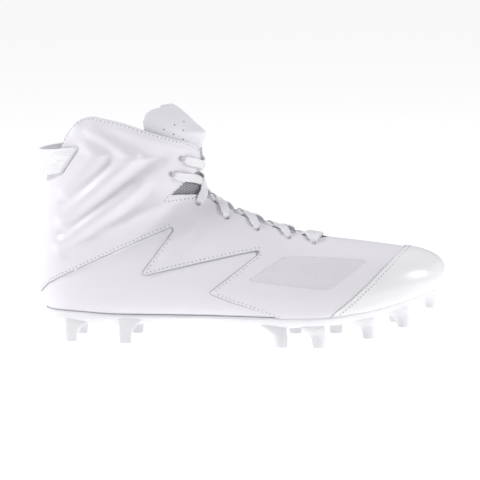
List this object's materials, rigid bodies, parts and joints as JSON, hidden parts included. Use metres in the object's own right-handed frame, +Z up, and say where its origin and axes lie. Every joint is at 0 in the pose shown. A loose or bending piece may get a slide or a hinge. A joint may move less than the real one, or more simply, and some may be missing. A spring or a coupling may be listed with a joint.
{
  "type": "american football cleat",
  "caption": "High-top american football cleat: a lasted upper with a laced throat and padded tongue on a moulded studded plate, with a toe cap and heel pull loop.",
  "frame": {"origin": "on the ground under the middle of the shoe's length and width", "axes": "+X from heel to toe, +Y from the outer side to the inner side, +Z up"},
  "size_m": [0.2966, 0.1, 0.1717],
  "materials": {
    "upper": "satin white coated synthetic leather",
    "toe_cap": "glossier white coated synthetic leather",
    "outsole": "white moulded plate, satin",
    "insole": "pale knitted lining cloth",
    "tongue": "soft padded white synthetic, perforated at the top",
    "laces": "flat white woven lace",
    "pull_loop": "white ribbed strap"
  },
  "bodies": {
    "root": {"upper": "upper", "toe_cap": "toe_cap", "outsole": "outsole", "insole": "insole", "tongue": "tongue", "laces": "laces", "pull_loop": "pull_loop"}
  },
  "joints": []
}
